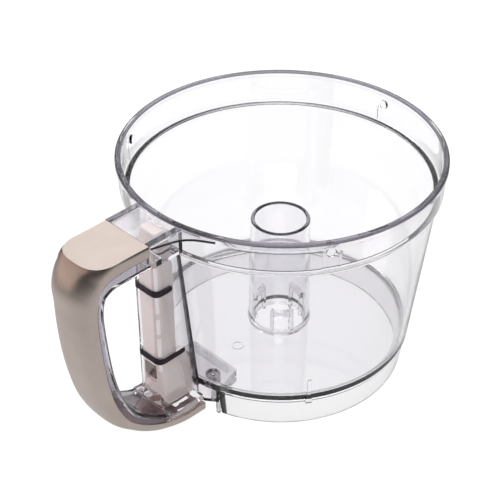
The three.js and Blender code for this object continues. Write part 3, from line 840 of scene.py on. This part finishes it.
def bridge_window():
    """The clear plate in the bridge's top, with the curved slot for the lid's tab."""
    half, under = BRIDGE_HALF_WIDTH - BRIDGE_WALL - 0.02, HANDLE_TOP - 4
    window = block("bridge_window", 90, BRIDGE_END, -half, half, HANDLE_TOP - 2.6, HANDLE_TOP)
    inner, outer = TAB_SLOT
    slot = revolved("slot", [(inner, under, 0), (outer, under, 0),
                             (outer, HANDLE_TOP + 1, 0), (inner, HANDLE_TOP + 1, 0)])
    shared(slot, block("slot_part", 90, 120, *TAB_SLOT_SIDES, under, HANDLE_TOP + 2))
    cut(window, rim_space(), slot)
    # The plate is a slightly darker, hazier copy of the clear plastic, and its edges get painted shade.
    dress(window, CLEAR_WINDOW)
    lined(window, 0.4, DEEP_EDGE_SHADE)
    smooth(window)


def handle_bridge():
    """The clear frame between the rim and the painted cover, in a darker copy of the clear plastic with
    painted shade on its edges and top.
    """
    half = BRIDGE_HALF_WIDTH
    inside = half - BRIDGE_WALL
    bridge = across("clear_bridge", [
        (90, BRIDGE_UNDER, 0), (BRIDGE_END, BRIDGE_UNDER, 0.4), (BRIDGE_END, HANDLE_TOP, 0.4),
        (90, HANDLE_TOP, 0),
    ], -half, half)
    cut(bridge, block("hollow", 80, BRIDGE_END + 1, -inside, inside, BRIDGE_UNDER - 1, HANDLE_TOP + 1))
    joined(bridge, block("plate", 118.8, BRIDGE_END, 1 - half, half - 1, BRIDGE_UNDER, BRIDGE_UNDER + 2.4))
    cut(bridge, rim_space())
    dress(bridge, BRIDGE_SHADED, stands_for=("handle_bridge",))
    lined(bridge, 0.8, BLACK_EDGE_SHADE)
    # Painted shade: the top faces, and bevelled faces at the band, get another darker copy of the clear
    # plastic.
    bridge.data.materials.append(FAINT_EDGE_SHADE)
    for face in bridge.data.polygons:
        x, y, z = local(face.center)
        on_top = face.normal.z > 0.9 and z > HANDLE_TOP - 0.1
        at_band = x < 110 and z > BRIDGE_UNDER + 7
        if on_top or (at_band and abs(y) < half + 0.1 and face.material_index == 1):
            face.material_index = 2
    smooth(bridge)


def bridge_web():
    """The thin flared web between the bridge's side and the rim, where the lid's tab comes in."""
    side, touching = BRIDGE_HALF_WIDTH + 0.1, RIM_RADIUS + GAP
    first, last, steps = math.asin(side / touching), math.radians(WEB_TURN), 8
    angles = [last + (first - last) * k / steps for k in range(steps + 1)]
    corners = [(touching * math.cos(angle), touching * math.sin(angle), 0) for angle in angles]
    corners += [(BRIDGE_END - 0.2, side, 0), (BRIDGE_END - 0.2, side + 0.6, 0),
                (WEB_CORNER, side + 6.6, 40), (*WEB_TIP, 0)]
    web = upright("bridge_web", corners, HANDLE_TOP - 1.9, HANDLE_TOP - 0.3, 12)
    dress(web, BRIDGE_SHADED)
    web.data.materials.append(BLACK_EDGE_SHADE)
    # Painted shade: a darker copy of the clear plastic, near black on the web's upright faces.
    for face in web.data.polygons:
        face.material_index = int(abs(face.normal.z) < 0.5)
    smooth(web)


# ---- Interlock column ----------------------------------------------------------------------

COLUMN_FACE = 118.5
COLUMN_HALF_WIDTH = 10
COLUMN_FOOT = 13.6
COLUMN_WALL = 1.8
LOWER_SIDE_WALL = 1.1
FLANGE_HALF_WIDTH = 13.5
COLUMN_FAR_CORNER = 2.5
COLUMN_NEAR_CORNER = 5.5

# Each cut slot's foot and where it starts, nearest the bowl, then the column's side wall behind it.
SLOTS = ((106.5, 105.4, COLUMN_WALL), (52.9, 97.0, LOWER_SIDE_WALL))
SLOT_HEIGHT = 4


def bowl_space(name, gap):
    """The bowl's outside, grown by gap, as a solid."""
    corners = [
        (0.1, -1, 0), (SKIRT_TOP_RADIUS + gap, -1, 0), (WALL_FOOT_RADIUS + gap, FLOOR_UNDER, 0),
        (WALL_TOP_RADIUS + gap, WALL_TOP, 0), (BAND_OUTSIDE + gap, WALL_TOP + 4, 0),
        (RIM_RADIUS + gap, RIM_TOP, 0), (0.1, RIM_TOP, 0),
    ]
    return revolved(name, corners)


def column_outline(grow, side_grow=None):
    """The column's outline grown outward, or by side_grow on its sides; its near corner is rounder."""
    side_grow = grow if side_grow is None else side_grow
    start, face, half = 70, COLUMN_FACE + grow, COLUMN_HALF_WIDTH + side_grow
    rounder = 0.8 * grow
    return [(start, -half, 0), (face, -half, COLUMN_FAR_CORNER + rounder),
            (face, half, COLUMN_NEAR_CORNER + rounder), (start, half, 0)]


def column_slot(name, z, start):
    """A round-ended slot from start out through the column's face, right across it."""
    end, face, half = SLOT_HEIGHT / 2, COLUMN_FACE + 2, COLUMN_HALF_WIDTH + 1
    corners = [(face, z, 0), (face, z + SLOT_HEIGHT, 0), (start, z + SLOT_HEIGHT, end), (start, z, end)]
    return across(name, corners, -half, half)


def column_shell():
    """The hollow column with its flange along the bowl and its foot plate, cut by both slots."""
    shell = upright("clear_column", column_outline(0), COLUMN_FOOT, COLUMN_TOP, 8)
    flange = shared(bowl_space("flange", GAP + 2), block(
        "flange_part", 80, 120, -FLANGE_HALF_WIDTH, FLANGE_HALF_WIDTH, COLUMN_FOOT, COLUMN_TOP
    ))
    plate = across("foot_plate", [(89.9, 11.1, 0), (105.6, 10.5, 3), (118.9, 13.2, 0), (118.9, 18.3, 0.8),
                                  (105, 16.6, 3), (89.9, 16.4, 0)], -17.8, 17.8)
    joined(shell, flange, plate)
    under, low_slot = COLUMN_FOOT - 5, SLOTS[1][0]
    lower_outline = column_outline(-COLUMN_WALL, -LOWER_SIDE_WALL)
    bore = upright("bore", column_outline(-COLUMN_WALL), under, COLUMN_TOP + 1, 8)
    lower_bore = upright("lower_bore", lower_outline, under, low_slot + 1, 8)
    root = block("root_space", 60, 89.8, -30, 30, 0, FLOOR_UNDER + GAP)
    slots = [column_slot(f"cut_{z}", z, start) for z, start, _ in SLOTS]
    return cut(shell, bore, lower_bore, bowl_space("bowl_side", GAP), root, *slots)


def interlock_column():
    """The column with painted shade: dark edges and flange sides, and a grey strip along the flange."""
    column = column_shell()
    dress(column, CLEAR, stands_for=("interlock_column",))
    lined(column, 0.8, BLACK_EDGE_SHADE)
    column.data.materials.append(DEEP_EDGE_SHADE)
    for face in column.data.polygons:
        _, y, z = local(face.center)
        beside = abs(y)
        if abs(face.normal.y) > 0.9 and abs(beside - FLANGE_HALF_WIDTH) < 0.1:
            face.material_index = 1
        elif 11.9 < beside < FLANGE_HALF_WIDTH and z > 20:
            face.material_index = 2
    smooth(column)


def slot_band(number):
    """A dark band round a slot in the column: a painted shadow piece where the slot is in shade."""
    z, start, side_wall = SLOTS[number]
    below, above = z - 2, z + SLOT_HEIGHT + 2
    band = shared(
        column_slot(f"slot_band_{number + 1}", z, start),
        upright("outside", column_outline(0.15), below, above, 8),
    )
    cut(band, upright("inside", column_outline(0.1 - COLUMN_WALL, 0.1 - side_wall), below, above, 8))
    cut(band, bowl_space("bowl_side", GAP + 2.2))
    smooth(band)
    dress(band, DARK)


# ---- Interlock rod and small pieces --------------------------------------------------------


def cad_piece(node, material, bevel, edge=None):
    """Keeps a CAD node, softens its edges and gives it its finish."""
    piece = frame["nodes"][node]
    piece.data.materials.clear()
    piece.data.materials.append(material)
    softened(piece, bevel, edge)
    return smooth(piece)


def handle_root():
    """The clear root block, greyer on its upright faces and its edges: painted shade, on a darker copy of
    the clear plastic.
    """
    root = cad_piece("handle_root", ROOT_SHADED, 1.0, DEEP_EDGE_SHADE)
    root.data.materials.append(FAINT_EDGE_SHADE)
    for face in root.data.polygons:
        if abs(face.normal.z) < 0.3:
            face.material_index = 2


def rod_strip(name, z0, z1):
    """A pale strip on the rounded corner of the rod along the column's corner, glowing faintly: a painted
    highlight.
    """
    centre_x, centre_y, inner, outer, middle, half = 112.4, 4.0, 3.6, 4.0, 45, 17
    corners = []
    for radius, angle in ((outer, half - 6), (outer, 6 - half), (inner, -half), (inner, half)):
        around = math.radians(middle + angle)
        corners.append((centre_x + radius * math.cos(around), centre_y + radius * math.sin(around), 0.2))
    strip = upright(name, corners, z0, z1, 3)
    smooth(strip)
    dress(strip, PAINTED_HIGHLIGHT, "rod_body")


def foot_window():
    """A dark plate that paints the shade in the round-topped window of the rod's foot."""
    far, near, foot, top, back, front = -6.5, 3.5, 37.5, 48.9, 113.25, 115.7
    outline = filleted([(far, foot, 0.8), (near, foot, 0.8), (near, top, 5), (far, top, 5)], 8)
    window = lofted("foot_window", [[(x, y, z) for y, z in outline] for x in (back, front)])
    smooth(window)
    dress(window, WINDOW_SHADE_PLATE, "rod_body")


def spring():
    """The rod's return spring, with closed end turns."""
    low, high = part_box("return_spring")
    centre_x, centre_y, _ = local((low + high) / 2)
    wire, radius, turns, closed = 0.45, 3.3, 6, 0.7
    z0, z1 = low.z / MM + wire, high.z / MM - wire
    steps, sides = turns * 36, 10
    rings = []
    for k in range(steps + 1):
        t = k / steps
        rise = max(0.0, min(1.0, (t * turns - closed) / (turns - 2 * closed)))
        angle = 2 * math.pi * turns * t
        z = z0 + (z1 - z0) * rise + wire * (2 * t - 1) * (1 if rise in (0.0, 1.0) else 0)
        middle = Vector((centre_x + radius * math.cos(angle), centre_y + radius * math.sin(angle), z))
        out = Vector((math.cos(angle), math.sin(angle), 0))
        rings.append([
            tuple(middle + wire * (out * math.cos(a) + Vector((0, 0, 1)) * math.sin(a)))
            for a in [2 * math.pi * j / sides for j in range(sides)]
        ])
    coil = lofted("coil_spring", rings)
    smooth(coil, 60)
    dress(coil, SPRING_STEEL, stands_for=("return_spring",))
    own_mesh(coil)


# ---- Stage ---------------------------------------------------------------------------------

ACROSS_THE_VIEW = (0.707, -0.707, 0)
FLOOR_FLAGS = (0.28, 0.42)
SKY_FLAGS = (0.35, 0.7)


def seen_directly(n, place, dim, bright, reach):
    """A level that is bright where it is looked at and dim where it only lights.

    Through clear plastic it is bright too, but dark flags stand at both sides of the view, from
    reach[0] to reach[1] away, and give the plastic its edges.
    """
    path = n.add("ShaderNodeLightPath")
    sideways = n.add("ShaderNodeVectorMath", operation="DOT_PRODUCT")
    n.link(place, sideways.inputs[0])
    n.link(ACROSS_THE_VIEW, sideways.inputs[1])
    either_side = n.calculate("ABSOLUTE", sideways.outputs["Value"])
    flag = n.between(either_side, 1.0, 0.04, *reach)
    through = n.calculate("MULTIPLY", path.outputs["Is Transmission Ray"], flag)
    looked_at = n.calculate("MAXIMUM", path.outputs["Is Camera Ray"], through)
    return n.between(looked_at, dim, bright, 0.0, 1.0)


def stage_floor():
    """A plain pale floor, brightest under the bowl."""
    far = 8.0
    mesh = bpy.data.meshes.new("floor")
    corners = [(-far, -far, 0), (far, -far, 0), (far, far, 0), (-far, far, 0)]
    mesh.from_pydata(corners, [], [(0, 1, 2, 3)])
    floor = bpy.data.objects.new("floor", mesh)
    bpy.context.scene.collection.objects.link(floor)
    floor.location.z = -0.0004
    n = new_material("pale_floor")
    matt = n.principled(Base_Color=(0.12, 0.12, 0.12, 1), Roughness=0.9, Specular_IOR_Level=0.1,
                        Emission_Color=(1, 1, 1, 1))
    from_bowl = n.add("ShaderNodeVectorMath", operation="LENGTH")
    n.link(n.place, from_bowl.inputs[0])
    away = from_bowl.outputs["Value"]
    lit = n.between(away, 0.46, 0.10, 0.24, 0.58)
    near = n.scaled(n.place, n.between(away, 1.0, 0.0, 0.5, 0.85))
    n.link(seen_directly(n, near, lit, 0.95, FLOOR_FLAGS), matt.inputs["Emission Strength"])
    floor.data.materials.append(n.finish(matt))


def surroundings():
    """A white studio that fades to dark overhead, with its flags above the horizon."""
    world = bpy.data.worlds.new("studio")
    bpy.context.scene.world = world
    n = Nodes(world, "ShaderNodeOutputWorld", "Generated")
    split = n.add("ShaderNodeSeparateXYZ")
    n.link(n.place, split.inputs[0])
    height = split.outputs["Z"]
    fade = n.between(height, 0.95, 0.10, 0.14, 0.42, "SMOOTHSTEP")
    raised = n.scaled(n.place, n.between(height, 0.0, 1.0, 0.05, 0.3))
    seen = seen_directly(n, raised, 0.12, 1.0, SKY_FLAGS)
    white = n.add("ShaderNodeBackground", Color=(0.96, 0.96, 1, 1))
    n.link(n.calculate("MULTIPLY", fade, seen), white.inputs["Strength"])
    n.finish(white)


def soft_light(name, place, size, power, target=(0.0, 0.0, 0.1), mirrored=True):
    """A soft box at place that shines at target; gloss mirrors it unless mirrored is False."""
    light = bpy.data.lights.new(name, "AREA")
    light.shape = "RECTANGLE"
    light.size, light.size_y = size
    light.energy = power
    lamp = bpy.data.objects.new(name, light)
    lamp.location = place
    lamp.rotation_euler = (Vector(target) - Vector(place)).to_track_quat("-Z", "Y").to_euler()
    lamp.visible_glossy = mirrored
    bpy.context.scene.collection.objects.link(lamp)
    return lamp


def lights():
    """Soft boxes all round: some only light, and some are there for the paint to mirror."""
    foot = (0.0, 0.0, 0.0)
    soft_light("overhead", (0.1, 0.15, 1.5), (1.6, 1.6), 23, foot, mirrored=False)
    soft_light("back_box", (0.81, 0.81, 0.96), (1.4, 0.9), 5.5)
    soft_light("left_box", (-0.85, 1.15, 0.5), (0.8, 0.8), 15, mirrored=False)
    warm = soft_light("left_panel", (-1.0, 0.95, 0.7), (1.8, 1.6), 5.2)
    warm.data.color = (1.0, 0.80, 0.70)
    soft_light("top_panel", (0.0, 0.0, 1.45), (1.0, 1.0), 1.5, foot)
    soft_light("front_fill", (-1.1, -1.1, 0.9), (1.0, 1.0), 17, mirrored=False)


def camera():
    """The view from the handle's side, looking down on the bowl."""
    azimuth, elevation = math.radians(-45.08), math.radians(36.22)
    distance, aim_left, aim_up = 0.880, 0.0202, 0.0622
    level = math.cos(elevation)
    back = Vector((math.sin(azimuth) * level, -math.cos(azimuth) * level, math.sin(elevation)))
    right = Vector((math.cos(azimuth), math.sin(azimuth), 0))
    up = back.cross(right)
    data = bpy.data.cameras.new("camera")
    data.lens = 89.28
    data.sensor_width = 36
    cam = bpy.data.objects.new("camera", data)
    target = Vector((BOWL_X, 0, 0)) - right * aim_left + up * aim_up
    cam.location = target + back * distance
    cam.rotation_euler = (-back).to_track_quat("-Z", "Y").to_euler()
    bpy.context.scene.collection.objects.link(cam)
    bpy.context.scene.camera = cam


def light_paths():
    """Clear walls lie many deep, so light is followed through all of them."""
    scene = bpy.context.scene
    scene.view_settings.view_transform = "Standard"
    scene.cycles.max_bounces = 28
    scene.cycles.transmission_bounces = 28
    scene.cycles.transparent_max_bounces = 40
    scene.cycles.glossy_bounces = 8


# ---- Assembly ------------------------------------------------------------------------------

camera()
light_paths()
surroundings()
lights()
stage_floor()

clear_bowl()
handle_bridge()
bridge_window()
bridge_web()
grip_liner()
handle_cover()
interlock_column()
slot_band(0)
slot_band(1)
handle_root()
cad_piece("interlock_rod", CHAMPAGNE, 0.6)
cad_piece("rod_foot", CHAMPAGNE, 0.8)
cad_piece("spring_seat", CHAMPAGNE, 0.3)
cad_piece("root_screw_left", ZINC, 0.2)
cad_piece("root_screw_right", ZINC, 0.2)
spring()
rod_strip("rod_strip_top", 92.5, 127)
rod_strip("rod_strip_middle", 76, 87.5)
rod_strip("rod_strip_low", 58, 72)
rod_strip("foot_strip", 45, 54)
foot_window()
